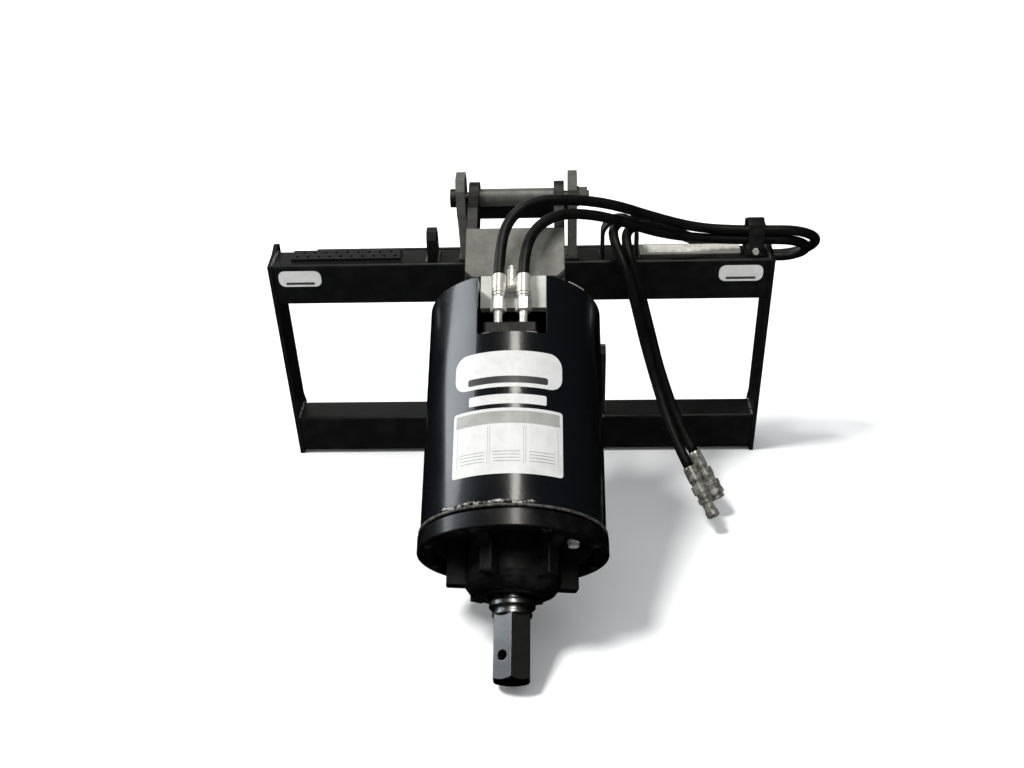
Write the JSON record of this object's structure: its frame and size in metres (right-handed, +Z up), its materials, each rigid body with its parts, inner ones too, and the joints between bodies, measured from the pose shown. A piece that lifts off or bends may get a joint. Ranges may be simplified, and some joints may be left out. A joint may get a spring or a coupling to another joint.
{
  "type": "hydraulic auger drive",
  "caption": "Hydraulic motor and planetary gearbox in a round housing with a hex output shaft, hung by a swing pin from a quick-attach frame with hoses and couplers.",
  "frame": {"origin": "centre of the bounding box without the hoses, on the ground", "axes": "+X to the object's right along the frame, +Y towards the loader, +Z up"},
  "size_m": [1.2595, 1.065, 0.7365],
  "materials": {
    "black_paint": "gloss",
    "housing_paint": "gloss",
    "steel": "ground",
    "zinc": "zinc plated",
    "cast_black": "painted cast",
    "gear_steel": "machined",
    "rubber": "matte",
    "guard": "satin"
  },
  "bodies": {
    "mount_frame": {"bottom_rail": "black_paint", "clamp_bolt": "zinc", "clamp_foot": "black_paint", "coupler_crimps": "zinc", "coupler_plug": "zinc", "coupler_socket": "zinc", "cradle_cheeks": "black_paint", "end_plates": "black_paint", "grip_strip": "black_paint", "hook_lip": "black_paint", "hose_a": "rubber", "hose_b": "rubber", "hose_clamp": "black_paint", "hose_hook": "black_paint", "latch_lip": "black_paint", "lifting_eye": "black_paint", "pivot_nut": "zinc", "pivot_pin": "black_paint", "pivot_towers": "black_paint", "rail_strip": "zinc", "stop_bar": "black_paint", "top_rail": "black_paint"},
    "drive": {"hanger_arms": "black_paint", "pivot_tube": "black_paint", "hanger_plate": "black_paint", "housing_shell": "housing_paint", "top_cap": "housing_paint", "port_guard": "guard", "relief_valve": "zinc", "motor_end_cover": "gear_steel", "motor_case": "gear_steel", "port_block": "gear_steel", "motor_screws": "zinc", "ring_gear": "gear_steel", "bearing_carrier": "gear_steel", "bearing_hub": "cast_black", "bottom_flange": "cast_black", "flange_screws": "zinc", "oil_seal": "rubber", "seal_cap": "cast_black", "drain_plug": "zinc", "bearing_outer_races": "gear_steel", "port_adapters": "zinc", "swivel_nuts": "zinc", "crimp_sleeves": "zinc"},
    "output": {"output_shaft": "steel", "planet_carrier": "gear_steel", "planet_pins": "gear_steel", "bearing_inner_races": "gear_steel", "bearing_rollers": "gear_steel", "retaining_nut": "gear_steel"},
    "motor_rotor": {"motor_shaft": "gear_steel", "inner_rotor": "gear_steel", "sun_gear": "gear_steel"},
    "rotor_ring": {"outer_rotor": "gear_steel"},
    "planet_1": {"planet_gear_1": "gear_steel"},
    "planet_2": {"planet_gear_2": "gear_steel"},
    "planet_3": {"planet_gear_3": "gear_steel"},
    "lock_sleeve": {"coupler_sleeve": "zinc"},
    "poppet": {"coupler_poppet": "zinc"}
  },
  "joints": [
    {"name": "drive_swing", "type": "hinge", "parent": "mount_frame", "child": "drive", "pos_m": [0, 0.28971, 0.68162], "axis": [1, 0, 0], "range_deg": [0, 43], "deforming": ["hose_a", "hose_b"]},
    {"name": "output_spin", "type": "hinge", "parent": "drive", "child": "output", "pos_m": [0, -0.40704, 0.11194], "axis": [0, -0.7742, -0.633], "continuous": true},
    {"name": "motor_spin", "type": "hinge", "parent": "drive", "child": "motor_rotor", "pos_m": [0, -0.01996, 0.42843], "axis": [0, -0.7742, -0.633], "continuous": true},
    {"name": "rotor_ring_spin", "type": "hinge", "parent": "drive", "child": "rotor_ring", "pos_m": [0.004, 0.00559, 0.44932], "axis": [0, -0.7742, -0.633], "continuous": true},
    {"name": "planet_1_spin", "type": "hinge", "parent": "output", "child": "planet_1", "pos_m": [0.09, -0.1624, 0.31196], "axis": [0, -0.7742, -0.633], "continuous": true},
    {"name": "planet_2_spin", "type": "hinge", "parent": "output", "child": "planet_2", "pos_m": [-0.045, -0.11307, 0.25162], "axis": [0, -0.7742, -0.633], "continuous": true},
    {"name": "planet_3_spin", "type": "hinge", "parent": "output", "child": "planet_3", "pos_m": [-0.045, -0.21174, 0.3723], "axis": [0, -0.7742, -0.633], "continuous": true},
    {"name": "lock_sleeve_slide", "type": "slide", "parent": "mount_frame", "child": "lock_sleeve", "axis": [-0.429, 0.5548, 0.7128], "range_m": [0, 0.008], "stiffness_N_per_m": 900, "springref_m": -0.012},
    {"name": "poppet_slide", "type": "slide", "parent": "mount_frame", "child": "poppet", "axis": [-0.429, 0.5548, 0.7128], "range_m": [0, 0.012], "stiffness_N_per_m": 900, "springref_m": -0.01}
  ],
  "couplings": [
    {"joint": "motor_spin", "follows": "output_spin", "ratio": 4},
    {"joint": "rotor_ring_spin", "follows": "output_spin", "ratio": 3.4286},
    {"joint": "planet_1_spin", "follows": "output_spin", "ratio": -3},
    {"joint": "planet_2_spin", "follows": "output_spin", "ratio": -3},
    {"joint": "planet_3_spin", "follows": "output_spin", "ratio": -3}
  ]
}
